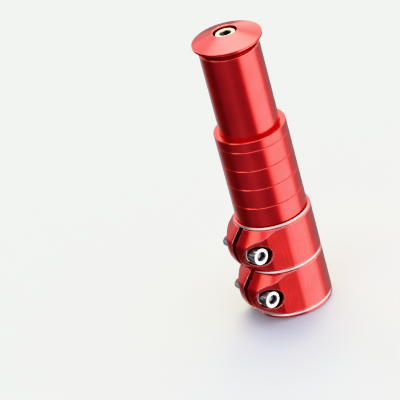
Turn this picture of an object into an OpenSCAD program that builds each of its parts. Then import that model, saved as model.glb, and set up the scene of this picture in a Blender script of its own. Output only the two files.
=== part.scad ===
// Riser for a bicycle steerer tube: a split clamp with two pinch bolts that grips the steerer,
// a tube that stands in for it higher up, loose spacer rings and a screwed-down top cap.
// Millimetres. The steerer axis is Z, the clamp stands on z = 0, its slot faces -Y and the
// pinch bolts run along X with their heads on the +X side.

/* [Steerer] */

// Diameter of the steerer tube that the clamp grips, and of the riser's own tube
steerer_d = 28.6; // [25.4:0.1:31.8]
// Inside diameter of the riser's own tube
tube_inner_d = 24; // [20:0.5:26]
// Depth of the bore that takes the steerer
bore_depth = 46; // [30:1:48]
// Height of the top end of the riser's own tube
tube_top_z = 137; // [100:1:180]

/* [Clamp] */

// Height of one of the two clamp bands
band_h = 24; // [20:0.5:30]
// Height of the plain ring under the bands
base_ring_h = 2; // [1:0.5:4]
// Radius of the bands away from the lugs
band_r = 18.85; // [18:0.05:22]
// Shift of the bands' outline towards the lugs
band_shift = 0.3; // [0:0.1:2]
// Radius of the narrow rim at the top of each band
rim_r = 18.05; // [17:0.05:20]
// Height of the bevel under that rim
rim_h = 0.9; // [0.4:0.1:2]
// Radius of the lugs at their furthest point
lug_r = 25.3; // [23:0.1:30]
// Radius of the lugs' rounded front, seen from the side
lug_round_r = 15.3; // [10:0.1:25]
// Distance from the top of a band to the lugs' furthest point
lug_round_drop = 11.5; // [8:0.5:16]
// Width of the slot
slot_w = 3; // [1:0.1:4]
// Wall left above the slot at the top of the clamp
slot_top_wall = 1.3; // [1:0.1:4]

/* [Pinch bolts] */

// Nominal thread diameter
pinch_d = 5; // [4:0.5:6]
// Length under the head
pinch_len = 22; // [16:1:30]
// Head diameter
pinch_head_d = 8.5; // [7:0.1:10]
// Head height
pinch_head_h = 6; // [4:0.5:6]
// Hex key size
pinch_key = 4; // [3:1:5]
// Washer diameter
washer_d = 9; // [8:0.1:12]
// Washer thickness
washer_t = 1.6; // [0.8:0.1:2]
// Distance from the steerer axis to the pinch bolts' axes
pinch_y = 19.3; // [18:0.1:22]
// Distance from the top of a band to its pinch bolt
pinch_drop = 12.5; // [9:0.5:15]
// Distance from the slot's middle plane to the washer's seat
seat_x = 5.2; // [5:0.1:9]
// Diameter of the pocket round the head
pocket_d = 10.2; // [10:0.1:13]

/* [Spacer rings] */

// Outside diameter of the rings
spacer_d = 34.4; // [32:0.1:38]
// Height of a full ring
spacer_h = 10; // [5:1:20]
// Height of the thin ring on top
thin_spacer_h = 5; // [2:1:10]
// Bevel on the rings' outer edges
spacer_bevel = 0.3; // [0.1:0.1:1]

/* [Top cap] */

// Height of the room for the handlebar stem, between the thin ring and the cap
stem_room_h = 44.85; // [30:0.05:60]
// Outside diameter
cap_d = 32.9; // [30:0.1:36]
// Height of the cap's upright edge
cap_edge_h = 1.3; // [0.8:0.1:3]
// Height of the cone above the upright edge
cap_cone_h = 3.55; // [2:0.05:6]
// Diameter of the recess for the bolt head
recess_d = 11.4; // [10.5:0.1:13]
// Diameter of the ring that centres the cap in the tube
spigot_d = 23.2; // [20:0.1:24]

/* [Cap bolt] */

// Nominal thread diameter
cap_bolt_d = 6; // [5:1:6]
// Length under the head
cap_bolt_len = 30; // [25:5:40]
// Head diameter
cap_head_d = 9.9; // [9:0.1:10.5]
// Head height
cap_head_h = 6; // [4:0.5:7]
// Hex key size
cap_key = 5; // [4:1:6]

/* [Star nut] */

// Depth of the star nut below the end of the tube
star_depth = 15; // [10:1:25]
// Height of its threaded core
star_core_h = 11; // [8:1:16]
// Thickness of its spring flanges
star_sheet_t = 0.8; // [0.5:0.1:1.2]

/* [Hidden] */

$fn = 96;

anodised = [0.72, 0.05, 0.08];
steel = [0.78, 0.78, 0.80];
dark_steel = [0.45, 0.46, 0.48];

eps = 0.01;          // overlap that keeps cuts clean
touch = 0.05;        // gap left between stacked loose pieces
run_gap = 0.05;      // radial gap of a bolt in its threaded hole
slide_gap = 0.1;     // radial gap of a ring on the tube and of a bolt in its washer

steerer_r = steerer_d / 2;
tube_inner_r = tube_inner_d / 2;
clamp_h = base_ring_h + 2 * band_h;
side_angle = 70.5;   // direction, from the lugs, that the flat flanks of the outline face
nose_angle = 45;     // the same for the flats beside the lugs' front
side_reach = band_r + band_shift * cos(side_angle);
nose_reach = 22;     // distance of the nose flats from the steerer axis
blend_r = 10;        // rounding between flank and nose flat
lug_centre_r = lug_r - lug_round_r;
thread_tip = 0.6;    // bevel at the end of a thread

stack_z = clamp_h;
thin_z = stack_z + 4 * spacer_h;
cap_z = thin_z + thin_spacer_h + stem_room_h;
cap_seat_drop = 2.15;    // from the cap's foot down to the seat of its bolt's head
cap_seat_z = cap_z - cap_seat_drop;
cap_floor_t = 1.9;       // wall under that seat

// Z of the top of a band: 0 is the lower one, 1 the upper one
function band_top(i) = base_ring_h + (i + 1) * band_h;

// Point where a line facing angle a1 at distance d1 crosses a line facing a2 at distance d2
function crossing(a1, d1, a2, d2) =
    let (det = sin(a2 - a1))
    [(d1 * sin(a2) - d2 * sin(a1)) / det, (d2 * cos(a1) - d1 * cos(a2)) / det];

// Unit vector at an angle
function unit(a) = [cos(a), sin(a)];

// ---------------------------------------------------------------- riser

// Half of the outline of a band, seen from above with the lugs along +X.
// The straight edges run a hair inside the arcs, so that the two cross instead of only touching.
module half_outline() {
    tuck = 0.02;
    blend_c = crossing(side_angle, side_reach - blend_r, nose_angle, nose_reach - blend_r);
    front = lug_r + 1;
    nose_y = (nose_reach - tuck) / cos(nose_angle) - front;
    translate([band_shift, 0]) circle(r = band_r);
    translate(blend_c) circle(r = blend_r);
    polygon([[band_shift, 0], [band_shift, 0] + (band_r - tuck) * unit(side_angle),
             blend_c + (blend_r - tuck) * unit(side_angle), blend_c + (blend_r - tuck) * unit(nose_angle),
             [front, nose_y], [front, 0]]);
}

// Outline of a band with the lugs facing -Y
module band_outline() {
    rotate(-90) {
        half_outline();
        mirror([0, 1]) half_outline();
    }
}

// Turned shape of a band: rim bevel, fine groove, 45 degree shoulder, rounded lug front
module band_turned() {
    groove = 0.2;
    foot_ledge = 0.4;
    bevel_r = rim_r + rim_h / 2;
    shoulder_h = lug_r + 1 - bevel_r;
    rotate_extrude()
        intersection() {
            polygon([[0, 0], [rim_r, 0], [bevel_r, -rim_h], [bevel_r, -rim_h - groove],
                     [bevel_r - groove, -rim_h - 1.5 * groove], [bevel_r - groove, -rim_h - 2 * groove],
                     [bevel_r + groove, -rim_h - 2.5 * groove], [lug_r + 1, -rim_h - shoulder_h],
                     [lug_r + 1, rim_h - band_h], [bevel_r + foot_ledge, rim_h - band_h],
                     [rim_r, -band_h], [0, -band_h]]);
            translate([lug_centre_r, -lug_round_drop]) circle(r = lug_round_r);
        }
    cylinder(r = bevel_r - 1, h = 2 * band_h, center = true);
}

// One clamp band with its pair of lugs, top face at z = 0
module band() {
    intersection() {
        band_turned();
        translate([0, 0, -band_h]) linear_extrude(band_h) band_outline();
    }
}

// Pocket, clearance hole and threaded hole of one pinch bolt, axis at the origin along X
module pinch_holes() {
    reach = 40;
    clearance = 0.25;
    rotate([0, 90, 0]) {
        translate([0, 0, seat_x]) cylinder(d = pocket_d, h = reach);
        cylinder(r = pinch_d / 2 + clearance, h = reach);
        mirror([0, 0, 1]) cylinder(r = pinch_d / 2 + run_gap, h = reach);
    }
}

module riser_body() {
    base_bevel = 0.3;
    tube_bevel = 0.5;
    color(anodised)
    difference() {
        union() {
            for (i = [0, 1]) translate([0, 0, band_top(i)]) band();
            rotate_extrude()
                polygon([[0, 0], [rim_r + rim_h / 2 - base_bevel, 0], [rim_r + rim_h / 2, base_bevel],
                         [rim_r + rim_h / 2, base_ring_h - rim_h], [rim_r, base_ring_h], [0, base_ring_h]]);
            rotate_extrude()
                polygon([[0, 0], [steerer_r, 0], [steerer_r, tube_top_z - tube_bevel],
                         [steerer_r - tube_bevel, tube_top_z], [0, tube_top_z]]);
        }
        translate([0, 0, -eps]) cylinder(r = steerer_r, h = bore_depth + eps);
        translate([0, 0, bore_depth - eps]) cylinder(r = tube_inner_r, h = tube_top_z);
        translate([-slot_w / 2, -2 * lug_r, -eps])
            cube([slot_w, 2 * lug_r, clamp_h - slot_top_wall + eps]);
        for (i = [0, 1]) translate([0, -pinch_y, band_top(i) - pinch_drop]) pinch_holes();
    }
}

// ---------------------------------------------------------------- star nut

star_top_z = tube_top_z - star_depth;
star_core_r = 4.95;
flange_bore_r = 5;
flange_inset = 2;        // of each flange from its end of the core

module star_core() {
    color(dark_steel)
    translate([0, 0, star_top_z - star_core_h])
        difference() {
            cylinder(r = star_core_r, h = star_core_h);
            translate([0, 0, -eps]) cylinder(r = cap_bolt_d / 2 + run_gap, h = star_core_h + 2 * eps);
        }
}

// Spring flange with bent-up teeth that bite into the tube, lower face at the origin
module star_flange() {
    teeth = 8;
    tooth_gap_w = 2.8;
    tooth_l = 2.6;
    rise = 1.8;
    bend_r = tube_inner_r - tooth_l;
    color(steel)
    difference() {
        rotate_extrude()
            polygon([[flange_bore_r, 0], [bend_r, 0], [tube_inner_r, rise],
                     [tube_inner_r, rise + star_sheet_t], [bend_r - 0.3, star_sheet_t],
                     [flange_bore_r, star_sheet_t]]);
        for (i = [0 : teeth - 1])
            rotate((i + 0.5) * 360 / teeth)
                translate([bend_r - 1, -tooth_gap_w / 2, -eps])
                    cube([2 * tooth_l, tooth_gap_w, 2 * tooth_l]);
    }
}

module star_flange_upper() {
    translate([0, 0, star_top_z - flange_inset - star_sheet_t]) star_flange();
}

module star_flange_lower() {
    translate([0, 0, star_top_z - star_core_h + flange_inset]) star_flange();
}

// ---------------------------------------------------------------- spacer rings

// Plain ring with bevelled outer edges, lower face at the origin
module ring(h) {
    outer_r = spacer_d / 2;
    inner_r = steerer_r + slide_gap;
    b = spacer_bevel;
    color(anodised)
    rotate_extrude()
        polygon([[inner_r, 0], [outer_r - b, 0], [outer_r, b], [outer_r, h - b],
                 [outer_r - b, h], [inner_r, h]]);
}

// Full ring at its place in the stack, counted from 1 at the bottom
module stacked_ring(number) {
    translate([0, 0, stack_z + (number - 1) * spacer_h + touch]) ring(spacer_h - touch);
}

module spacer_1() {
    stacked_ring(1);
}

module spacer_2() {
    stacked_ring(2);
}

module spacer_3() {
    stacked_ring(3);
}

module spacer_4() {
    stacked_ring(4);
}

module spacer_thin() {
    translate([0, 0, thin_z + touch]) ring(thin_spacer_h - touch);
}

// ---------------------------------------------------------------- top cap

// Cone with an upright edge, a recess for the bolt head, a boss under the head
// and a ring that centres the cap in the tube
module top_cap() {
    outer_r = cap_d / 2;
    top_z = cap_edge_h + cap_cone_h;
    edge = 0.2;
    recess_r = recess_d / 2;
    seat = cap_seat_z - cap_z;
    boss_r = 7.5;
    spigot_r = spigot_d / 2;
    spigot_drop = 5;
    spigot_t = 1.5;
    roof = 0.6;
    color(anodised)
    translate([0, 0, cap_z])
        rotate_extrude()
            polygon([[cap_bolt_d / 2 + slide_gap, seat - cap_floor_t], [boss_r, seat - cap_floor_t],
                     [boss_r, roof], [spigot_r - spigot_t, roof], [spigot_r - spigot_t, -spigot_drop],
                     [spigot_r - edge, -spigot_drop], [spigot_r, edge - spigot_drop], [spigot_r, 0],
                     [outer_r - edge, 0], [outer_r, edge], [outer_r, cap_edge_h - edge],
                     [outer_r - edge, cap_edge_h + 0.05], [recess_r + edge, top_z],
                     [recess_r, top_z - edge], [recess_r, seat], [cap_bolt_d / 2 + slide_gap, seat]]);
}

// ---------------------------------------------------------------- screws

// Fine lengthwise ribs round a screw head. Their tips stand a little outside the head's radius,
// and the head's turned shape cuts them flat.
module knurl(r, ribs, depth) {
    overshoot = 0.04;
    polygon([for (i = [0 : 2 * ribs - 1])
                let (reach = i % 2 == 0 ? r + overshoot : r - depth)
                reach * unit(i * 180 / ribs)]);
}

// Cut for the hex key, opening at the origin and going down
module key_socket(key, depth) {
    lead_in = 0.3;
    corner_r = key / 2 / cos(30);
    translate([0, 0, -depth]) cylinder(r = corner_r, h = depth + eps, $fn = 6);
    translate([0, 0, -depth - key / 5]) cylinder(r1 = 0, r2 = key / 2, h = key / 5 + eps);
    translate([0, 0, -lead_in])
        cylinder(r1 = corner_r - lead_in, r2 = corner_r + 0.05, h = lead_in + eps);
}

// Socket-head screw: head above the origin, thread below it
module socket_screw(d, len, head_d, head_h, key) {
    r = d / 2;
    head_r = head_d / 2;
    ribs = 40;
    rib_depth = 0.18;
    foot_bevel = 0.3;
    rim = 0.5;
    color(steel)
    difference() {
        union() {
            intersection() {
                linear_extrude(head_h) knurl(head_r, ribs, rib_depth);
                rotate_extrude()
                    polygon([[0, 0], [head_r - foot_bevel, 0], [head_r, foot_bevel], [head_r, head_h - rim],
                             [head_r - rim, head_h], [0, head_h]]);
            }
            cylinder(r = head_r - rib_depth - 0.1, h = head_h - rim / 2);
            rotate_extrude()
                polygon([[0, eps], [r, eps], [r, thread_tip - len], [r - thread_tip, -len], [0, -len]]);
        }
        translate([0, 0, head_h]) key_socket(key, head_h / 2);
    }
}

module cap_bolt() {
    translate([0, 0, cap_seat_z + touch])
        socket_screw(cap_bolt_d, cap_bolt_len, cap_head_d, cap_head_h, cap_key);
}

// Place for a pinch bolt's pieces in one band: the washer's seat at the origin, outwards along +Z
module at_pinch(i) {
    translate([seat_x + touch, -pinch_y, band_top(i) - pinch_drop]) rotate([0, 90, 0]) children();
}

module pinch_washer(i) {
    edge = 0.2;
    outer_r = washer_d / 2;
    hole_r = pinch_d / 2 + slide_gap;
    color(steel)
    at_pinch(i)
        rotate_extrude()
            polygon([[hole_r, 0], [outer_r, 0], [outer_r, washer_t - edge],
                     [outer_r - edge, washer_t], [hole_r, washer_t]]);
}

module pinch_bolt(i) {
    at_pinch(i)
        translate([0, 0, washer_t + touch])
            socket_screw(pinch_d, pinch_len, pinch_head_d, pinch_head_h, pinch_key);
}

module pinch_washer_upper() {
    pinch_washer(1);
}

module pinch_washer_lower() {
    pinch_washer(0);
}

module pinch_bolt_upper() {
    pinch_bolt(1);
}

module pinch_bolt_lower() {
    pinch_bolt(0);
}

// ---------------------------------------------------------------- nodes

riser_body();
star_core();
star_flange_upper();
star_flange_lower();
spacer_1();
spacer_2();
spacer_3();
spacer_4();
spacer_thin();
top_cap();
cap_bolt();
pinch_washer_upper();
pinch_washer_lower();
pinch_bolt_upper();
pinch_bolt_lower();
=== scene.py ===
"""Looks of the steerer riser: finer meshes for its pieces, procedural metals, floor, lights, camera."""
import math

import bpy
import numpy as np
from mathutils import Matrix, Vector


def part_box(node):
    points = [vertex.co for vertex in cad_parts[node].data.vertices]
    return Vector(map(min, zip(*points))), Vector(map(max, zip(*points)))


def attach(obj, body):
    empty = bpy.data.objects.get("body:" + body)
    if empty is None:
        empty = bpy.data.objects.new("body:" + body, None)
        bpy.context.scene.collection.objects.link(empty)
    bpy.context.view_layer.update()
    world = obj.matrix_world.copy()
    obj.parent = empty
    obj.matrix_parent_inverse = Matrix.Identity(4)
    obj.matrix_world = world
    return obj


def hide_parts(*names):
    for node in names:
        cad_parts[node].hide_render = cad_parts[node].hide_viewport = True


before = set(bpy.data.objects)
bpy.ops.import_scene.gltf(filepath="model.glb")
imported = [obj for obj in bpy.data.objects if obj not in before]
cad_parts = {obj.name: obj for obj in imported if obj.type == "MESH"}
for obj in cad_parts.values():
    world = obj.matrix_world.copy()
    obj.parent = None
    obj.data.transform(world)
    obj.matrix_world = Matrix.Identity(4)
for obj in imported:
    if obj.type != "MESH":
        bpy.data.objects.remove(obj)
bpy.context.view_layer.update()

MM = 0.001

# ---------------------------------------------------------------- sizes, in millimetres

STEERER_R = 14.3            # bore of the clamp and outside of the tube
TUBE_INNER_R = 12.0
BORE_DEPTH = 46.0
BASE_H = 2.0                # plain ring under the clamp bands
BAND_H = 24.0
BAND_R = 18.85
BAND_SHIFT = 0.3            # of the bands' outline towards the lugs
RIM_R = 18.05               # narrow rim at the top of each band
RIM_H = 0.9
LUG_R = 25.3
LUG_ROUND_R = 15.3          # rounded lug front, seen from the side
LUG_ROUND_DROP = 11.5       # from a band's top to the lugs' furthest point
FLANK_ANGLE = 70.5          # direction that the flat flanks face, in degrees from the lugs
NOSE_ANGLE = 45.0
NOSE_REACH = 22.0           # distance of the nose flats from the axis
BLEND_R = 10.0              # between flank and nose flat
SLOT_W = 3.0
SLOT_TOP = 48.7
POCKET_D = 10.2             # round each pinch bolt's head
SEAT_X = 5.2
EDGE_BREAK = 0.22           # rounding of the machined edges
NOSE_EDGE = 0.3             # rounding where the lugs' round front meets the band
SLOT_EDGE = 0.15
POCKET_EDGE = 0.2
HOLE_EDGE = 0.12
SCREW_CLEARANCE = 0.1       # between a screw and a plain hole
LUG_CLEARANCE = 0.25        # between a pinch bolt and the lug under its head
THREAD_CLEARANCE = 0.05
RING_BORE_R = 14.4
RING_BEVEL = 0.3
CAP_BOLT_D = 6.0
CAP_BOLT_PITCH = 1.0
CAP_HEAD_R = 4.95
CAP_HEAD_H = 6.0
CAP_KEY = 5.0
PINCH_BOLT_D = 5.0
PINCH_BOLT_PITCH = 0.8
PINCH_HEAD_R = 4.25
PINCH_HEAD_H = 6.0
PINCH_KEY = 4.0


def node_box(node):
    """Lowest and highest corner of a CAD node, in millimetres."""
    low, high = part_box(node)
    return Vector(low) / MM, Vector(high) / MM


# ---------------------------------------------------------------- mesh tools


def mesh_object(name, points, faces, normals=None, sharp_deg=None, edges=None):
    """A smooth-shaded object from points in millimetres, with how sharp each point's edge is, if given."""
    mesh = bpy.data.meshes.new(name)
    mesh.from_pydata((np.asarray(points) * MM).tolist(), [], faces)
    mesh.shade_smooth()
    if normals is not None:
        mesh.normals_split_custom_set_from_vertices(np.asarray(normals).tolist())
    elif sharp_deg is not None:
        mesh.set_sharp_from_angle(angle=math.radians(sharp_deg))
    if edges is not None:
        mesh.attributes.new("edge", "FLOAT", "POINT").data.foreach_set("value", edges)
    obj = bpy.data.objects.new(name, mesh)
    bpy.context.scene.collection.objects.link(obj)
    return obj


TURNED_EDGE = 2.0           # sharpness given to the outward corners of turned pieces


def rounded_outline(corners, steps=5):
    """Points, outward normals and edge sharpness of a closed outline with rounded corners.

    The corners go anticlockwise, each as (x, y, fillet radius).
    """
    points, normals, edges = [], [], []
    count = len(corners)
    for i, (x, y, fillet) in enumerate(corners):
        here = np.array((x, y))
        to_last = np.array(corners[i - 1][:2]) - here
        to_next = np.array(corners[(i + 1) % count][:2]) - here
        to_last /= np.linalg.norm(to_last)
        to_next /= np.linalg.norm(to_next)
        half = math.acos(np.clip(to_last @ to_next, -1, 1)) / 2
        bisector = (to_last + to_next) / np.linalg.norm(to_last + to_next)
        centre = here + bisector * fillet / math.sin(half)
        start = here + to_last * fillet / math.tan(half) - centre
        end = here + to_next * fillet / math.tan(half) - centre
        bulges = to_last[0] * to_next[1] < to_last[1] * to_next[0]
        first = math.atan2(start[1], start[0])
        sweep = (math.atan2(end[1], end[0]) - first + math.pi) % (2 * math.pi) - math.pi
        for k in range(steps + 1):
            a = first + sweep * k / steps
            direction = np.array((math.cos(a), math.sin(a)))
            points.append(centre + fillet * direction)
            normals.append(direction if bulges else -direction)
            edges.append(TURNED_EDGE if bulges and 0 < k < steps else 0.0)
    return np.array(points), np.array(normals), np.array(edges)


def lathe(name, corners, segments=160, turn=None, place=(0, 0, 0)):
    """A ring turned round its own Z from a closed outline with rounded corners, then turned and placed."""
    outline, outline_normals, edges = rounded_outline(corners)
    angles = np.arange(segments) * 2 * math.pi / segments
    cos, sin = np.cos(angles)[:, None], np.sin(angles)[:, None]

    def spun(pairs):
        heights = np.broadcast_to(pairs[:, 1], (segments, len(pairs)))
        return np.stack([cos * pairs[:, 0], sin * pairs[:, 0], heights], axis=-1).reshape(-1, 3)

    rows = len(outline)
    faces = []
    for i in range(segments):
        j = (i + 1) % segments
        for k in range(rows):
            m = (k + 1) % rows
            faces.append((i * rows + k, j * rows + k, j * rows + m, i * rows + m))
    turn = np.eye(3) if turn is None else np.array(turn)
    return mesh_object(name, spun(outline) @ turn.T + np.array(place), faces,
                       normals=spun(outline_normals) @ turn.T, edges=np.tile(edges, segments))


ALONG_X = Matrix.Rotation(math.radians(90), 3, "Y")     # turns a piece's own Z to +X


# ---------------------------------------------------------------- rings, cap and washers


def spacer_ring(node):
    low, high = node_box(node)
    outer = high.x
    bevel_r = outer - RING_BEVEL
    return lathe("ring_" + node, [
        (RING_BORE_R, low.z, 0.15), (bevel_r, low.z, 0.08), (outer, low.z + RING_BEVEL, 0.08),
        (outer, high.z - RING_BEVEL, 0.08), (bevel_r, high.z, 0.08), (RING_BORE_R, high.z, 0.15)])


def top_cap():
    """Cone with an upright edge, recess and boss for the bolt, and the ring that centres it in the tube."""
    low, high = node_box("top_cap")
    outer = high.x
    spigot_drop = 5.0       # from the cone's foot to the centring ring's
    spigot_r = 11.6
    spigot_t = 1.5
    edge_h = 1.35           # upright edge of the cone
    recess_r = 5.7
    seat_drop = 2.15        # from the cone's foot to the bolt's seat
    floor_t = 1.9
    boss_r = 7.5
    hollow_h = 0.6          # inside the centring ring, above the cone's foot
    bolt_hole_r = CAP_BOLT_D / 2 + SCREW_CLEARANCE
    foot = low.z + spigot_drop
    shoulder = foot + edge_h
    seat = foot - seat_drop
    roof = foot + hollow_h
    return lathe("cap", [
        (bolt_hole_r, seat - floor_t, 0.15), (boss_r, seat - floor_t, 0.25), (boss_r, roof, 0.3),
        (spigot_r - spigot_t, roof, 0.3), (spigot_r - spigot_t, low.z, 0.2), (spigot_r, low.z, 0.3),
        (spigot_r, foot, 0.2), (outer, foot, 0.2), (outer, shoulder - 0.05, 0.25),
        (recess_r, high.z + 0.05, 0.3), (recess_r, seat, 0.3), (bolt_hole_r, seat, 0.15)])


def washer(node):
    low, high = node_box(node)
    outer = (high.z - low.z) / 2
    thick = high.x - low.x
    hole = PINCH_BOLT_D / 2 + SCREW_CLEARANCE
    return lathe("ring_" + node, [
        (hole, 0, 0.12), (outer, 0, 0.1), (outer, thick, 0.3), (hole, thick, 0.2)],
        segments=96, turn=ALONG_X, place=(low.x, (low.y + high.y) / 2, (low.z + high.z) / 2))


# ---------------------------------------------------------------- screws

RIBS = 40                   # round a screw's head
RIB_STEPS = 6               # mesh segments in one rib
HEAD_PER_SHANK = 3          # head segments for each shank segment
HEAD_SEGMENTS = RIB_STEPS * RIBS
SHANK_SEGMENTS = HEAD_SEGMENTS // HEAD_PER_SHANK
ROWS_PER_PITCH = 6
RIB_DEPTH = 0.16
TIP_BEVEL = 0.6
THREAD_DEPTH = 0.6          # as a share of the pitch
SOCKET_FLARE = 0.25         # of the socket's mouth, beyond its corners


def thread_radius(turns, z, outer, pitch):
    """Radius of a pointed thread at z, at so many turns round the axis."""
    depth = THREAD_DEPTH * pitch
    phase = (z / pitch - turns) % 1
    wave = np.clip(np.abs(phase - 0.5) * 2.6 - 0.15, 0, 1)
    return outer - depth * wave


def hex_radius(angles, key):
    """Radius of a hexagonal hole, corners at 0 and every 60 degrees."""
    return key / 2 / np.cos((angles % (math.pi / 3)) - math.pi / 6)


def shank_rings(angles, length, body_r, pitch):
    """Rings of a threaded shank as (angles, radii, heights), from its tip to the head's underside."""
    turns = angles / (2 * math.pi)
    step = pitch / ROWS_PER_PITCH
    rings = []
    for z in np.arange(0, length - 0.5 * step, step) - length:
        room = body_r - TIP_BEVEL * max(0.0, 1 - (z + length) / TIP_BEVEL)
        run_out = body_r - 0.02 if z > -0.6 * pitch else room
        radii = np.minimum(thread_radius(turns, z, body_r, pitch), run_out)
        rings.append((angles, radii, np.full(SHANK_SEGMENTS, z)))
    rings.append((angles, np.full(SHANK_SEGMENTS, body_r * 0.96), np.zeros(SHANK_SEGMENTS)))
    return rings


def head_rings(angles, head_r, head_h, key):
    """Rings of a ribbed head as (angles, radii, heights), from its underside to the socket's floor."""
    half_rib = RIB_STEPS / 2
    valley = RIB_DEPTH * (1 - np.abs((np.arange(HEAD_SEGMENTS) % RIB_STEPS) - half_rib) / half_rib)
    flat = np.ones(HEAD_SEGMENTS)
    hexagon = hex_radius(angles, key)
    mouth = key / 2 / math.cos(math.radians(30)) + SOCKET_FLARE
    profile = [                                 # radius, height, how deep the ribs are
        (head_r - 0.3, 0, 0),
        (head_r - 0.06, 0.1, 0.5),
        (head_r, 0.3, 1),
        (head_r, head_h - 0.75, 1),
        (head_r - 0.08, head_h - 0.5, 0.5),
        (head_r - 0.22, head_h - 0.2, 0),
        (head_r - 0.42, head_h - 0.05, 0),
        (head_r - 0.65, head_h, 0),
        (mouth + 0.12, head_h, 0),
        (mouth, head_h - 0.05, 0)]
    rings = [(angles, radius - ribbed * valley, flat * z) for radius, z, ribbed in profile]
    floor_z = head_h - head_h / 2
    rings.append((angles, hexagon, head_h - 0.05 - (mouth - hexagon) * 0.85))
    rings.append((angles, hexagon * 0.995, flat * floor_z))
    rings.append((angles, flat * (key / 2 - 0.1), flat * (floor_z - 0.02)))
    rings.append((angles, flat * 0.3, flat * (floor_z - key / 5)))
    return rings


def screw(name, node, body_d, pitch, head_h, key, turn, place):
    """Socket-head screw: head above its own z = 0, thread below it."""
    low, high = node_box(node)
    head_r = min(high - low) / 2
    length = max(high - low) - head_h
    head_angles = np.arange(HEAD_SEGMENTS) * 2 * math.pi / HEAD_SEGMENTS
    rings = shank_rings(head_angles[::HEAD_PER_SHANK], length, body_d / 2, pitch)
    rings += head_rings(head_angles, head_r, head_h, key)

    points, starts = [], []
    for angles, radii, heights in rings:
        starts.append(len(points))
        points.extend(np.stack([radii * np.cos(angles), radii * np.sin(angles), heights], axis=-1))
    faces = []
    for start, end, next_end in zip(starts, starts[1:], starts[2:] + [len(points)]):
        low_count, high_count = end - start, next_end - end
        each = high_count // low_count
        for i in range(low_count):
            above = [end + (i * each + k) % high_count for k in range(each + 1)]
            faces.append((start + i, start + (i + 1) % low_count, *reversed(above)))
    faces.append(tuple(range(SHANK_SEGMENTS))[::-1])
    faces.append(tuple(range(starts[-1], starts[-1] + HEAD_SEGMENTS)))
    points = np.array(points) @ np.array(turn).T + np.array(place)
    return mesh_object(name, points, faces, sharp_deg=32)


def pinch_screw(node):
    low, high = node_box(node)
    place = (high.x - PINCH_HEAD_H, (low.y + high.y) / 2, (low.z + high.z) / 2)
    return screw("screw_" + node, node, PINCH_BOLT_D, PINCH_BOLT_PITCH, PINCH_HEAD_H, PINCH_KEY,
                 ALONG_X, place)


def cap_screw():
    high = node_box("cap_bolt")[1]
    return screw("screw_cap_bolt", "cap_bolt", CAP_BOLT_D, CAP_BOLT_PITCH, CAP_HEAD_H, CAP_KEY,
                 Matrix.Rotation(math.radians(18), 3, "Z"), (0, 0, high.z - CAP_HEAD_H))


# ---------------------------------------------------------------- riser body


def rounded_max(a, b, k):
    """Larger of two distances, with the edge where the two surfaces meet rounded to radius k."""
    corner = np.hypot(np.maximum(a + k, 0), np.maximum(b + k, 0)) - k
    return np.where((a > -k) & (b > -k), corner, np.maximum(a, b))


def unit(degrees):
    return np.array((math.cos(math.radians(degrees)), math.sin(math.radians(degrees))))


def polygon_distance(points, r, z):
    """Signed distance from (r, z) to a closed outline, negative inside and only rough far from it."""
    reach = 2.0
    order = np.argsort(z, axis=None)
    r_sorted, z_sorted = r.ravel()[order], z.ravel()[order]
    nearest = np.full(z_sorted.shape, reach ** 2)
    inside = np.zeros(z_sorted.shape, bool)
    for i, (x1, y1) in enumerate(points):
        x0, y0 = points[i - 1]
        ex, ey = x1 - x0, y1 - y0
        first, last = np.searchsorted(z_sorted, (min(y0, y1) - reach, max(y0, y1) + reach))
        near = slice(first, last)
        dr, dz = r_sorted[near] - x0, z_sorted[near] - y0
        along = np.clip((dr * ex + dz * ey) / (ex * ex + ey * ey), 0, 1)
        nearest[near] = np.minimum(nearest[near], (dr - along * ex) ** 2 + (dz - along * ey) ** 2)
        if y0 != y1:
            first, last = np.searchsorted(z_sorted, (min(y0, y1), max(y0, y1)))
            level = slice(first, last)
            inside[level] ^= r_sorted[level] < x0 + (z_sorted[level] - y0) * ex / ey
    distance = np.empty(z_sorted.shape)
    distance[order] = np.where(inside, -1, 1) * np.sqrt(nearest)
    return distance.reshape(np.shape(z))


def riser_profile():
    """Outline of the riser cut through its axis, without the lugs' flanks, slot and holes."""
    wall = RIM_R + RIM_H / 2
    corners = [(STEERER_R, 0, 0.25), (wall - 0.3, 0, 0.08), (wall, 0.3, 0.08),
               (wall, BASE_H - RIM_H, 0.1), (RIM_R, BASE_H, 0.12)]
    for band in (0, 1):
        top = BASE_H + (band + 1) * BAND_H
        far = LUG_R + 1
        corners += [(wall + 0.4, top - BAND_H + RIM_H, 0.12), (far, top - BAND_H + RIM_H, 0.1),
                    (far, top - RIM_H - (far - wall), 0.1), (wall + 0.2, top - RIM_H - 0.5, 0.05),
                    (wall - 0.2, top - RIM_H - 0.4, 0.03), (wall - 0.2, top - RIM_H - 0.3, 0.03),
                    (wall, top - RIM_H - 0.15, 0.06), (wall, top - RIM_H, 0.1), (RIM_R, top, 0.12)]
    tube_top = node_box("riser_body")[1].z
    corners += [(STEERER_R, BASE_H + 2 * BAND_H, 0.1), (STEERER_R, tube_top - 0.5, 0.1),
                (STEERER_R - 0.5, tube_top, 0.1), (TUBE_INNER_R, tube_top, 0.25),
                (TUBE_INNER_R, BORE_DEPTH, 0.3), (STEERER_R, BORE_DEPTH, 0.1)]
    return rounded_outline(corners, 4)[0]


def crossing(angle_1, reach_1, angle_2, reach_2):
    """Where the line facing angle_1 at reach_1 crosses the one facing angle_2 at reach_2."""
    return np.linalg.solve(np.array((unit(angle_1), unit(angle_2))), np.array((reach_1, reach_2)))


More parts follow.
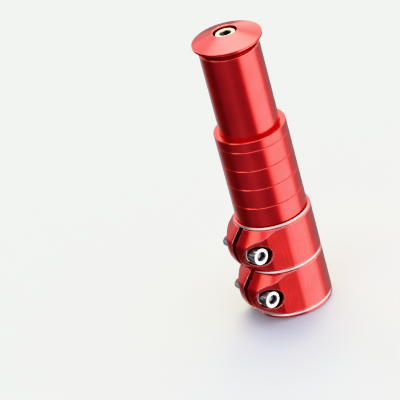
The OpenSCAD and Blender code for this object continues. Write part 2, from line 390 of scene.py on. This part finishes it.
def outline_distance(x, y):
    """Distance to the bands' outline seen from above: a circle with flat flanks and nose flats."""
    ahead, aside = -y, np.abs(x)
    flank, nose = unit(FLANK_ANGLE), unit(NOSE_ANGLE)
    flank_reach = BAND_R + BAND_SHIFT * flank[0]
    to_flank = ahead * flank[0] + aside * flank[1] - flank_reach
    to_nose = ahead * nose[0] + aside * nose[1] - NOSE_REACH
    centre = crossing(FLANK_ANGLE, flank_reach - BLEND_R, NOSE_ANGLE, NOSE_REACH - BLEND_R)
    bearing = np.degrees(np.arctan2(aside - centre[1], ahead - centre[0]))
    to_blend = np.hypot(ahead - centre[0], aside - centre[1]) - BLEND_R
    on_blend = (bearing > NOSE_ANGLE) & (bearing < FLANK_ANGLE)
    front = np.where(on_blend, to_blend, np.maximum(to_flank, to_nose))
    round_bearing = np.degrees(np.arctan2(aside, ahead - BAND_SHIFT))
    to_round = np.hypot(ahead - BAND_SHIFT, aside) - BAND_R
    return np.where(round_bearing > FLANK_ANGLE, to_round, front)


def riser_distance(x, y, z, profile):
    """Signed distance to the riser body, about true near its surface."""
    r = np.hypot(x, y)
    distance = polygon_distance(profile, r, z)
    for band in (0, 1):
        top = BASE_H + (band + 1) * BAND_H
        to_nose_round = np.hypot(r - (LUG_R - LUG_ROUND_R), z - top + LUG_ROUND_DROP) - LUG_ROUND_R
        in_band = (z > top - BAND_H) & (z <= top)
        distance = np.where(in_band, rounded_max(distance, to_nose_round, NOSE_EDGE), distance)
    distance = rounded_max(distance, outline_distance(x, y), EDGE_BREAK)
    slot = np.maximum(np.maximum(np.abs(x) - SLOT_W / 2, y), z - SLOT_TOP)
    distance = rounded_max(distance, -slot, SLOT_EDGE)
    for node in ("pinch_bolt_lower", "pinch_bolt_upper"):
        low, high = node_box(node)
        from_axis = np.hypot(y - (low.y + high.y) / 2, z - (low.z + high.z) / 2)
        pocket = np.maximum(from_axis - POCKET_D / 2, SEAT_X - x)
        clearance = np.where(x > 0, LUG_CLEARANCE, THREAD_CLEARANCE)
        hole = from_axis - PINCH_BOLT_D / 2 - clearance
        distance = rounded_max(distance, -pocket, POCKET_EDGE)
        distance = rounded_max(distance, -hole, HOLE_EDGE)
    return distance


def graded(*spans):
    """Grid lines from (start, end, step) spans."""
    lines = set()
    for start, end, step in spans:
        count = max(1, round((end - start) / step))
        lines.update(np.round(np.linspace(start, end, count + 1), 4))
    return np.array(sorted(lines))


def surface_net(field, lines):
    """Closed quads round the negative region of a field on grid lines (r, angle, z), where angle wraps."""
    inside = field < 0
    turned = np.roll(inside, -1, axis=1)
    layers = [inside, turned]
    count = sum(layer[i:i + inside.shape[0] - 1, :, k:k + inside.shape[2] - 1].astype(int)
                for layer in layers for i in (0, 1) for k in (0, 1))
    active = (count > 0) & (count < 8)
    index = np.full(active.shape, -1)
    index[active] = np.arange(active.sum())
    cells = np.argwhere(active)

    r, angle, z = lines
    wrapped = np.append(angle, angle[0] + 2 * math.pi)
    total, crossings = np.zeros((len(cells), 3)), np.zeros(len(cells))
    steps = [(a, b, c) for a in (0, 1) for b in (0, 1) for c in (0, 1)]

    def corner(step):
        i, j, k = (cells + np.array(step)).T
        place = np.stack([r[i], wrapped[j], z[k]], axis=-1)
        return field[i, j % len(angle), k], place

    for start in steps:
        for axis in range(3):
            if start[axis]:
                continue
            end = list(start)
            end[axis] = 1
            f0, p0 = corner(start)
            f1, p1 = corner(end)
            cut = (f0 < 0) != (f1 < 0)
            share = np.where(cut, f0 / np.where(cut, f0 - f1, 1), 0)
            total += np.where(cut[:, None], p0 + (p1 - p0) * share[:, None], 0)
            crossings += cut
    middle = total / crossings[:, None]
    out, turned_by, up = middle.T
    points = np.stack([out * np.cos(turned_by), out * np.sin(turned_by), up], axis=-1)

    quads = []
    angles = len(angle)
    for axis in range(3):
        ahead = turned if axis == 1 else np.roll(inside, -1, axis=axis)
        edges = np.argwhere(inside != ahead)
        edges = edges[edges[:, axis] < inside.shape[axis] - (0 if axis == 1 else 1)]
        u, v = [(1, 2), (2, 0), (0, 1)][axis]
        ring = []
        for du, dv in ((-1, -1), (0, -1), (0, 0), (-1, 0)):
            cell = edges.copy()
            cell[:, u] += du
            cell[:, v] += dv
            cell[:, 1] %= angles
            ring.append(index[cell[:, 0], cell[:, 1], cell[:, 2]])
        ring = np.stack(ring, axis=-1)
        outward = inside[edges[:, 0], edges[:, 1], edges[:, 2]]
        quads.append(np.where(outward[:, None], ring, ring[:, ::-1]))
    return points, np.concatenate(quads)


def settle(points, distance, rounds=4, reach=0.15):
    """Moves points onto the surface where a distance is 0, and gives the surface's normals there."""
    fine_nudge = 0.004
    wide_nudge = 0.03       # evens the normals out over the meshes' small steps

    def slope(p, nudge):
        sides = []
        for axis in range(3):
            offset = np.zeros(3)
            offset[axis] = nudge
            sides.append(distance(*(p + offset).T) - distance(*(p - offset).T))
        return np.stack(sides, axis=-1) / (2 * nudge)

    for _ in range(rounds):
        gradient = slope(points, fine_nudge)
        size = np.maximum((gradient ** 2).sum(-1), 0.25)
        shift = -(distance(*points.T) / size)[:, None] * gradient
        length = np.linalg.norm(shift, axis=-1, keepdims=True)
        points = points + shift * np.minimum(1, reach / np.maximum(length, 1e-9))
    normals = slope(points, wide_nudge)
    return points, normals / np.maximum(np.linalg.norm(normals, axis=-1, keepdims=True), 1e-9)


def edge_sharpness(points, normals, quads):
    """Mean bend of the surface at each point, in 1/mm, positive where it bulges."""
    start, end = quads.ravel(), np.roll(quads, -1, axis=1).ravel()
    gap = points[end] - points[start]
    bend = ((normals[end] - normals[start]) * gap).sum(-1) / np.maximum((gap ** 2).sum(-1), 1e-4)
    ends = np.concatenate([start, end])
    total = np.bincount(ends, np.concatenate([bend, bend]), len(points))
    return total / np.maximum(np.bincount(ends, minlength=len(points)), 1)


def radial_lines():
    """Grid lines by distance from the axis, close together at the walls."""
    close, wide = 0.13, 0.4
    return graded(
        (TUBE_INNER_R - 0.8, TUBE_INNER_R - 0.2, 0.3),
        (TUBE_INNER_R - 0.2, TUBE_INNER_R + 0.6, close),
        (TUBE_INNER_R + 0.6, STEERER_R - 0.7, 0.5),
        (STEERER_R - 0.7, STEERER_R + 0.3, close),
        (STEERER_R + 0.3, RIM_R - 0.25, wide),
        (RIM_R - 0.25, BAND_R + 0.25, close),
        (BAND_R + 0.25, LUG_R + 0.5, wide))


def angle_lines():
    """Grid lines round the axis, closest at the slot and close over the lugs."""
    middle, half_slot, half_lugs = math.radians(-90), math.radians(6), math.radians(72)
    fine, medium, coarse = math.radians(0.5), math.radians(1.0), math.radians(2.5)
    return graded(
        (middle - half_lugs, middle - half_slot, medium),
        (middle - half_slot, middle + half_slot, fine),
        (middle + half_slot, middle + half_lugs, medium),
        (middle + half_lugs, middle - half_lugs + 2 * math.pi, coarse))[:-1]


def height_lines(tube_top):
    """Grid lines up the axis, close together at the rims, edges and shoulders."""
    spans = [(-0.2, 0.5, 0.12), (0.5, BASE_H - RIM_H - 0.2, 0.4)]
    for band in (0, 1):
        foot = BASE_H + band * BAND_H
        top = foot + BAND_H
        spans += [(foot - 1.1, foot + 1.2, 0.115), (foot + 1.2, top - 1.8, 0.45),
                  (top - 1.8, top - 1.1, 0.1)]
    top = BASE_H + 2 * BAND_H
    spans += [(top - 1.1, top + 0.2, 0.12), (top + 0.2, top + 1.0, 0.4), (top + 1.0, tube_top - 1.0, 4.0),
              (tube_top - 1.0, tube_top + 0.3, 0.13), (BORE_DEPTH - 0.3, BORE_DEPTH + 0.5, 0.15)]
    return graded(*spans)


def riser_body():
    """The riser as one closed mesh, with every machined edge broken to a small radius."""
    profile = riser_profile()
    lines = radial_lines(), angle_lines(), height_lines(node_box("riser_body")[1].z)
    r, angle, z = np.meshgrid(*lines, indexing="ij")

    def distance(x, y, z):
        return riser_distance(x, y, z, profile)

    field = distance(r * np.cos(angle) + 1e-6, r * np.sin(angle), z)
    points, quads = surface_net(field, lines)
    points, normals = settle(points, distance)
    return mesh_object("riser", points, quads.tolist(), normals,
                       edges=edge_sharpness(points, normals, quads))


# ---------------------------------------------------------------- materials


class Nodes:
    """Short-hand for building one node tree."""

    def __init__(self, tree):
        self.tree = tree
        tree.nodes.clear()

    def add(self, kind, inputs=(), **settings):
        node = self.tree.nodes.new(kind)
        for key, value in settings.items():
            setattr(node, key, value)
        for key, value in dict(inputs).items():
            socket = node.inputs[key]
            if isinstance(value, bpy.types.NodeSocket):
                self.tree.links.new(value, socket)
            else:
                socket.default_value = value
        return node

    def math(self, operation, a, b=0.0):
        return self.add("ShaderNodeMath", {0: a, 1: b}, operation=operation).outputs[0]

    def product(self, a, b):
        return self.math("MULTIPLY", a, b)

    def length(self, a, b):
        """Length of the vector (a, b)."""
        return self.math("SQRT", self.math("ADD", self.product(a, a), self.product(b, b)))

    def opposite(self, mask):
        return self.math("SUBTRACT", 1.0, mask)

    def ramp(self, value, low, high):
        """0 below low, 1 above high, smooth between."""
        node = self.add("ShaderNodeMapRange", {"Value": value, "From Min": low, "From Max": high},
                        interpolation_type="SMOOTHSTEP")
        return node.outputs["Result"]

    def between(self, value, low, high, soft):
        """1 between low and high, fading to 0 outside over soft."""
        rise = self.ramp(value, low - soft, low)
        fall = self.ramp(value, high, high + soft)
        return self.product(rise, self.opposite(fall))

    def noise(self, vector, scale, detail=2.0, rough=0.5):
        node = self.add("ShaderNodeTexNoise", {"Vector": vector, "Scale": scale, "Detail": detail,
                                               "Roughness": rough})
        return node.outputs["Fac"]

    def mix(self, factor, a, b):
        node = self.add("ShaderNodeMix", data_type="RGBA")
        for socket, value in ((node.inputs[0], factor), (node.inputs[6], a), (node.inputs[7], b)):
            if isinstance(value, bpy.types.NodeSocket):
                self.tree.links.new(value, socket)
            else:
                socket.default_value = value
        return node.outputs[2]

    def stretched(self, vector, factors):
        """A vector with each part multiplied by its own factor."""
        return self.add("ShaderNodeVectorMath", {0: vector, 1: factors}, operation="MULTIPLY").outputs[0]

    def vector(self, x, y, z):
        return self.add("ShaderNodeCombineXYZ", {0: x, 1: y, 2: z}).outputs[0]


def new_material(name):
    material = bpy.data.materials.new(name)
    material.use_nodes = True
    return material, Nodes(material.node_tree)


def place_in_mm(nodes):
    """Place of the shaded point in millimetres, its y and z, its distance from the Z axis, its bearing."""
    coords = nodes.add("ShaderNodeTexCoord").outputs["Object"]
    scaled = nodes.stretched(coords, (1 / MM,) * 3)
    split = nodes.add("ShaderNodeSeparateXYZ", {0: scaled})
    x, y, z = split.outputs
    radius = nodes.length(x, y)
    bearing = nodes.math("ARCTAN2", y, x)
    return scaled, y, z, radius, bearing


def any_of(n, masks):
    """The largest of several masks."""
    total = masks[0]
    for mask in masks[1:]:
        total = n.math("MAXIMUM", total, mask)
    return total


MARK_HEIGHT = 0.00003       # of tool marks and scratches, in metres
DYE_DEEP = (0.49, 0.006, 0.012, 1)
DYE_BRIGHT = (0.60, 0.010, 0.016, 1)
STREAK_RED = (0.27, 0.002, 0.008, 1)
FLECK_RED = (0.30, 0.001, 0.010, 1)
# worn dye and a painted highlight on bulging edges
WORN_AND_HIGHLIGHT_RED = (0.84, 0.38, 0.36, 1)
BRIGHT_CUT = (0.84, 0.68, 0.70, 1)
STEEL_STREAK = (0.16, 0.155, 0.15, 1)
# painted shade in the valleys between a screw head's ribs
RIB_PAINTED_SHADE = (0.12, 0.12, 0.125, 1)
# painted shade inside a screw's socket
SOCKET_PAINTED_SHADE = (0.10, 0.09, 0.085, 1)


def rim_mask(n, z, radius, tops):
    """1 on the bright-cut bevels below the given heights."""
    on_bevels = any_of(n, [n.between(z, top - RIM_H + 0.10, top - 0.08, 0.05) for top in tops])
    near_rims = n.between(radius, RIM_R - 0.15, RIM_R + RIM_H / 2 + 0.06, 0.04)
    return n.product(on_bevels, near_rims)


def tool_marks(n, z, radius, bearing, bands):
    """Upright milling marks on the bands and turned rings elsewhere."""
    turning = n.noise(n.vector(n.product(z, 9.0), n.product(radius, 9.0), bearing), 1.0, 3.0)
    milling = n.noise(n.vector(n.product(bearing, 44.0), n.product(z, 0.05), 0.0), 1.0, 3.0)
    return n.add("ShaderNodeMix", {"Factor": bands, "A": turning, "B": milling}).outputs["Result"]


def worn_and_highlight_mask(n, place, z):
    """1 where the dye has worn off an edge and where an edge carries a painted highlight, in patches, and
    nowhere at the foot.
    """
    edge = n.ramp(n.add("ShaderNodeAttribute", attribute_name="edge").outputs["Fac"], 0.2, 0.9)
    patches = n.ramp(n.noise(place, 0.8, 4.0), 0.15, 0.60)
    return n.product(edge, n.product(patches, n.ramp(z, 0.5, 2.0)))


def anodised_red(name):
    """Red dye under a clear oxide skin, with turning and milling marks, worn edges with painted edge
    highlights, and bright-cut rims.
    """
    material, n = new_material(name)
    place, _, z, radius, bearing = place_in_mm(n)
    tops = [BASE_H, BASE_H + BAND_H, BASE_H + 2 * BAND_H]
    rims = rim_mask(n, z, radius, tops)
    bands = n.product(n.ramp(radius, BAND_R - 0.3, BAND_R - 0.2), n.between(z, BASE_H, tops[-1], 0.1))
    marks = tool_marks(n, z, radius, bearing, bands)
    cloud = n.ramp(n.noise(place, 0.12, 3.0), 0.3, 0.7)
    specks = n.ramp(n.noise(place, 3.2, 2.0), 0.70, 0.78)
    worn_and_highlit = worn_and_highlight_mask(n, place, z)

    dye = n.mix(cloud, DYE_DEEP, DYE_BRIGHT)
    depth = n.math("ADD", n.product(bands, 0.20), 0.25)
    streaked = n.mix(n.product(n.ramp(marks, 0.35, 0.68), depth), dye, STREAK_RED)
    flecked = n.mix(n.product(specks, 0.25), streaked, FLECK_RED)
    # lighter bulging edges: worn dye and a painted edge highlight
    edged = n.mix(n.product(worn_and_highlit, 0.70), flecked, WORN_AND_HIGHLIGHT_RED)
    colour = n.mix(rims, edged, BRIGHT_CUT)
    satin = n.math("ADD", n.product(marks, 0.12), 0.20)
    rough = n.math("SUBTRACT", satin, n.product(rims, 0.10))
    height = n.product(marks, n.math("ADD", n.product(bands, 2.2), 1.0))
    bump = n.add("ShaderNodeBump", {"Height": height, "Strength": 0.2, "Distance": MARK_HEIGHT})
    shader = n.add("ShaderNodeBsdfPrincipled", {
        "Base Color": colour, "Metallic": 1.0, "Roughness": rough, "Normal": bump.outputs[0],
        "Specular Tint": (1.0, 0.36, 0.36, 1), "Coat Weight": 1.0, "Coat Roughness": 0.12, "Coat IOR": 1.5})
    n.add("ShaderNodeOutputMaterial", {"Surface": shader.outputs[0]})
    return material


def screw_streaks_and_painted_shade(n, colour, place, distance, head_r, key, grain):
    """A screw's colour, darker in its lengthwise streaks, with painted shade between its ribs and in its
    socket.
    """
    streaks = n.ramp(n.noise(n.stretched(place, grain), 1.0, 2.0), 0.42, 0.60)
    streaks = n.product(streaks, n.ramp(distance, head_r - 0.3, head_r - 0.2))
    # painted shade in the valleys between the head's ribs
    rib_valley_shade = n.opposite(n.ramp(distance, head_r - 0.15, head_r - 0.02))
    side = n.ramp(distance, head_r - 0.24, head_r - 0.19)
    # painted shade inside the hex socket
    socket = n.opposite(n.ramp(distance, key * 0.58, key * 0.64))
    colour = n.mix(streaks, colour, STEEL_STREAK)
    colour = n.mix(n.product(n.product(rib_valley_shade, side), 0.6), colour, RIB_PAINTED_SHADE)
    return n.mix(n.product(socket, 0.72), colour, SOCKET_PAINTED_SHADE)


def bright_steel(name, tint, rough_low=0.16, rough_high=0.34, from_axis=None, head=None,
                 grain=(0.1, 1.3, 1.3)):
    """Steel with fine scratches. A screw also gives its axis and, as head, its head's radius and its key."""
    material, n = new_material(name)
    place, y, z, radius, _ = place_in_mm(n)
    scratches = n.noise(n.stretched(place, (6.0, 1.2, 1.2)), 1.0, 4.0, 0.6)
    darker = tuple(c * 0.8 for c in tint[:3]) + (1,)
    colour = n.mix(n.ramp(n.noise(place, 0.5, 2.0), 0.35, 0.7), tint, darker)
    if from_axis:
        # a screw's colour gets its streaks, and painted shade between its ribs and in its socket
        colour = screw_streaks_and_painted_shade(n, colour, place, from_axis(n, y, z, radius), *head, grain)
    rough = n.add("ShaderNodeMapRange", {"Value": scratches, "To Min": rough_low, "To Max": rough_high})
    bump = n.add("ShaderNodeBump", {"Height": scratches, "Strength": 0.15, "Distance": MARK_HEIGHT})
    shader = n.add("ShaderNodeBsdfPrincipled", {
        "Base Color": colour, "Metallic": 1.0, "Roughness": rough.outputs["Result"],
        "Normal": bump.outputs[0]})
    n.add("ShaderNodeOutputMaterial", {"Surface": shader.outputs[0]})
    return material


def from_pinch_axis(n, y, z, radius):
    """Distance from the nearer pinch bolt's axis."""
    low, high = node_box("pinch_bolt_lower")
    across = n.math("SUBTRACT", y, (low.y + high.y) / 2)
    band_foot = (low.z + high.z) / 2 - BAND_H / 2
    above_foot = n.math("MODULO", n.math("SUBTRACT", z, band_foot), BAND_H)
    return n.length(across, n.math("SUBTRACT", above_foot, BAND_H / 2))


def from_steerer_axis(n, y, z, radius):
    """Distance from the cap bolt's axis, which is the Z axis."""
    return radius


def dress(obj, material):
    obj.data.materials.clear()
    obj.data.materials.append(material)


# ---------------------------------------------------------------- stage, lights, camera

VIEW_AZIMUTH = 61.0        # degrees round Z from the -Y side
VIEW_ELEVATION = 28.26
VIEW_ROLL = -15.48
VIEW_DISTANCE = 1331.6     # millimetres
VIEW_LENS = 255.4          # millimetres
SENSOR_WIDTH = 36
VIEW_TARGET = (0, 0, 50)   # top of the clamp, on the axis
TARGET_RIGHT = 33.35       # where the target lies in the view plane, from its middle
TARGET_DOWN = 3.6


def add_camera():
    """The camera that looks at the part from the view above."""
    azimuth, elevation, roll = (math.radians(a) for a in (VIEW_AZIMUTH, VIEW_ELEVATION, VIEW_ROLL))
    turn = Matrix.Rotation(azimuth, 3, "Z")
    back = turn @ Vector((0, -math.cos(elevation), math.sin(elevation)))
    flat_right = turn @ Vector((1, 0, 0))
    flat_up = turn @ Vector((0, math.sin(elevation), math.cos(elevation)))
    right = math.cos(roll) * flat_right + math.sin(roll) * flat_up
    up = math.cos(roll) * flat_up - math.sin(roll) * flat_right
    place = Vector(VIEW_TARGET) + back * VIEW_DISTANCE - right * TARGET_RIGHT + up * TARGET_DOWN
    data = bpy.data.cameras.new("camera")
    data.lens = VIEW_LENS
    data.sensor_width = SENSOR_WIDTH
    data.clip_start, data.clip_end = 0.01, 20
    camera = bpy.data.objects.new("camera", data)
    matrix = Matrix((right, up, back)).transposed().to_4x4()
    matrix.translation = place * MM
    camera.matrix_world = matrix
    bpy.context.scene.collection.objects.link(camera)
    bpy.context.scene.camera = camera


# Brightness of the room round the object, by bearing in degrees from +X towards +Y
ROOM = [(-180, 0.70), (-164, 0.46), (-150, 0.28), (-125, 0.20), (-95, 0.50), (-60, 0.76), (-35, 0.55),
        (-14, 0.50), (10, 1.0), (60, 1.1), (80, 1.0), (110, 0.62), (140, 0.15), (160, 0.40), (180, 0.70)]
ROOM_MAX = 2.0
UPPER_GAIN = 0.8            # how much brighter the room is above eye level
BACKDROP = (0.965, 0.975, 1.0, 1)       # what the camera sees behind the floor
BACKDROP_GAIN = 1.32
FLOOR_GREY = (0.445, 0.468, 0.59, 1)
# Soft lights: bearing, height, half-width and soft edge in degrees, brightness, colour
LIGHTS = {
    "side": (31, -22, 19, 23, 2.9, (1.0, 0.93, 0.72)),
    "top": (136, 60, 4, 25, 9.0, (1.0, 0.95, 0.45)),
    "back": (136, 16, 6, 22, 2.6, (1.0, 0.95, 0.80)),
    "front": (-106, 46, 3, 13, 3.6, (1.0, 0.90, 0.55)),
    "crown": (-40, 68, 10, 18, 1.4, (1.0, 0.97, 0.93)),
    "west": (180, 34, 8, 22, 1.5, (1.0, 0.90, 0.80)),
}


def toward(bearing, height):
    """Unit vector at a bearing and height in degrees."""
    b, h = math.radians(bearing), math.radians(height)
    return (math.cos(h) * math.cos(b), math.cos(h) * math.sin(b), math.sin(h))


def add_world():
    """A studio seen only by light and reflections, with a plain backdrop for the camera."""
    world = bpy.data.worlds.new("studio")
    world.use_nodes = True
    bpy.context.scene.world = world
    n = Nodes(world.node_tree)
    direction = n.add("ShaderNodeTexCoord").outputs["Generated"]
    split = n.add("ShaderNodeSeparateXYZ", {0: direction})
    bearing = n.math("ARCTAN2", split.outputs[1], split.outputs[0])
    along = n.math("ADD", n.product(bearing, 1 / (2 * math.pi)), 0.5)
    ramp = n.add("ShaderNodeValToRGB", {0: along})
    ramp.color_ramp.interpolation = "EASE"
    stops = ramp.color_ramp.elements
    while len(stops) < len(ROOM):
        stops.new(0.5)
    for stop, (degrees, level) in zip(stops, ROOM):
        stop.position = (degrees + 180) / 360
        stop.color = (level / ROOM_MAX,) * 3 + (1,)
    above = n.ramp(split.outputs[2], -0.15, 0.3)
    strength = n.product(n.math("ADD", n.product(above, UPPER_GAIN), 1.0), ROOM_MAX)
    total = n.add("ShaderNodeBackground", {"Color": ramp.outputs[0], "Strength": strength}).outputs[0]
    for at, height, half, soft, level, colour in LIGHTS.values():
        facing = n.add("ShaderNodeVectorMath", {0: direction, 1: toward(at, height)},
                       operation="DOT_PRODUCT")
        dark_at, bright_at = (math.cos(math.radians(a)) for a in (half + soft, half))
        shape = n.product(n.ramp(facing.outputs["Value"], dark_at, bright_at), level)
        glow = n.add("ShaderNodeBackground", {"Color": colour + (1,), "Strength": shape})
        total = n.add("ShaderNodeAddShader", {0: total, 1: glow.outputs[0]}).outputs[0]
    seen = n.add("ShaderNodeBackground", {"Color": BACKDROP, "Strength": BACKDROP_GAIN})
    is_camera = n.add("ShaderNodeLightPath").outputs["Is Camera Ray"]
    mixed = n.add("ShaderNodeMixShader", {0: is_camera, 1: total, 2: seen.outputs[0]})
    n.add("ShaderNodeOutputWorld", {"Surface": mixed.outputs[0]})


def add_floor():
    """A pale floor just under the part, which can't be seen from below or in reflections."""
    half = 4.0
    mesh = bpy.data.meshes.new("floor")
    corners = [(-half, -half, 0), (half, -half, 0), (half, half, 0), (-half, half, 0)]
    mesh.from_pydata(corners, [], [(0, 1, 2, 3)])
    floor = bpy.data.objects.new("floor", mesh)
    floor.location.z = -0.0002
    bpy.context.scene.collection.objects.link(floor)
    material, n = new_material("pale_floor")
    diffuse = n.add("ShaderNodeBsdfDiffuse", {"Color": FLOOR_GREY})
    clear = n.add("ShaderNodeBsdfTransparent")
    below = n.add("ShaderNodeNewGeometry").outputs["Backfacing"]
    mixed = n.add("ShaderNodeMixShader", {0: below, 1: diffuse.outputs[0], 2: clear.outputs[0]})
    n.add("ShaderNodeOutputMaterial", {"Surface": mixed.outputs[0]})
    dress(floor, material)
    floor.visible_glossy = False
    floor.visible_shadow = False


# ---------------------------------------------------------------- build

add_camera()
add_world()
add_floor()
bpy.context.scene.view_settings.view_transform = "Khronos PBR Neutral"

RED = anodised_red("anodised_red")
STEEL = bright_steel("stainless_steel", (0.86, 0.86, 0.88, 1), 0.10, 0.22)
PINCH_STEEL = bright_steel("pinch_bolt_steel", (0.75, 0.77, 0.87, 1), from_axis=from_pinch_axis,
                           head=(PINCH_HEAD_R, PINCH_KEY))
CAP_STEEL = bright_steel("cap_bolt_steel", (0.76, 0.77, 0.82, 1), from_axis=from_steerer_axis,
                         head=(CAP_HEAD_R, CAP_KEY), grain=(1.3, 1.3, 0.1))
ZINC = bright_steel("zinc_plate", (0.55, 0.54, 0.50, 1), 0.3, 0.5)

RING_BODIES = {"spacer_1": "ring_1", "spacer_2": "ring_2", "spacer_3": "ring_3", "spacer_4": "ring_4",
               "spacer_thin": "thin_ring"}


def stand_in(piece, node, body, material):
    """The piece rides on a body in place of one CAD node, in one material."""
    dress(piece, material)
    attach(piece, body)
    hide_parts(node)


stand_in(riser_body(), "riser_body", "riser", RED)
stand_in(top_cap(), "top_cap", "cap", RED)
stand_in(cap_screw(), "cap_bolt", "cap_screw", CAP_STEEL)
for ring_node, ring_body in RING_BODIES.items():
    stand_in(spacer_ring(ring_node), ring_node, ring_body, RED)
for end in ("upper", "lower"):
    washer_node = "pinch_washer_" + end
    bolt_node = "pinch_bolt_" + end
    stand_in(washer(washer_node), washer_node, "washer_" + end, STEEL)
    stand_in(pinch_screw(bolt_node), bolt_node, "pinch_screw_" + end, PINCH_STEEL)
for star_node in ("star_core", "star_flange_upper", "star_flange_lower"):
    dress(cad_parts[star_node], ZINC)
